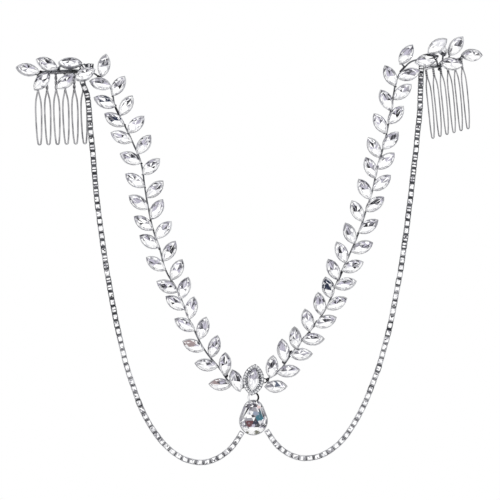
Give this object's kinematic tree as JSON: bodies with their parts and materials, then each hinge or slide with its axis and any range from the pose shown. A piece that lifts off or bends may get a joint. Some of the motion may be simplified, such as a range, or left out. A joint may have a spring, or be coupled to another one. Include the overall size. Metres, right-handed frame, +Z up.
{
  "type": "rhinestone headpiece",
  "caption": "Hair headpiece of two wire side combs, leaf vines set with navette stones, a paved centre stone with a pear drop, and cup chains that swag below.",
  "frame": {"origin": "middle of the top rail of the left comb, where the headpiece pins into the hair", "axes": "X from the left comb to the right comb, Z up, the stones face -Y"},
  "size_m": [0.2062, 0.0299, 0.1886],
  "materials": {
    "silver": "bright silver plate over brass, polished, a little darker in the corners",
    "crystal": "clear cut crystal over a silver foil back, with sharp facets",
    "cup_chain": "bright silver plated square cups, each with a small clear stone"
  },
  "bodies": {
    "root": {"left_comb": "silver", "right_comb": "silver", "left_branch": "silver", "right_branch": "silver", "left_link": "silver", "right_link": "silver", "halo_setting": "silver", "drop_ring": "silver", "drop_setting": "silver", "left_outer_stones": "crystal", "left_inner_stones": "crystal", "left_spray_stones": "crystal", "right_outer_stones": "crystal", "right_inner_stones": "crystal", "right_spray_stones": "crystal", "halo_stone": "crystal", "drop_stone": "crystal", "left_chain": "cup_chain", "right_chain": "cup_chain"}
  },
  "joints": []
}
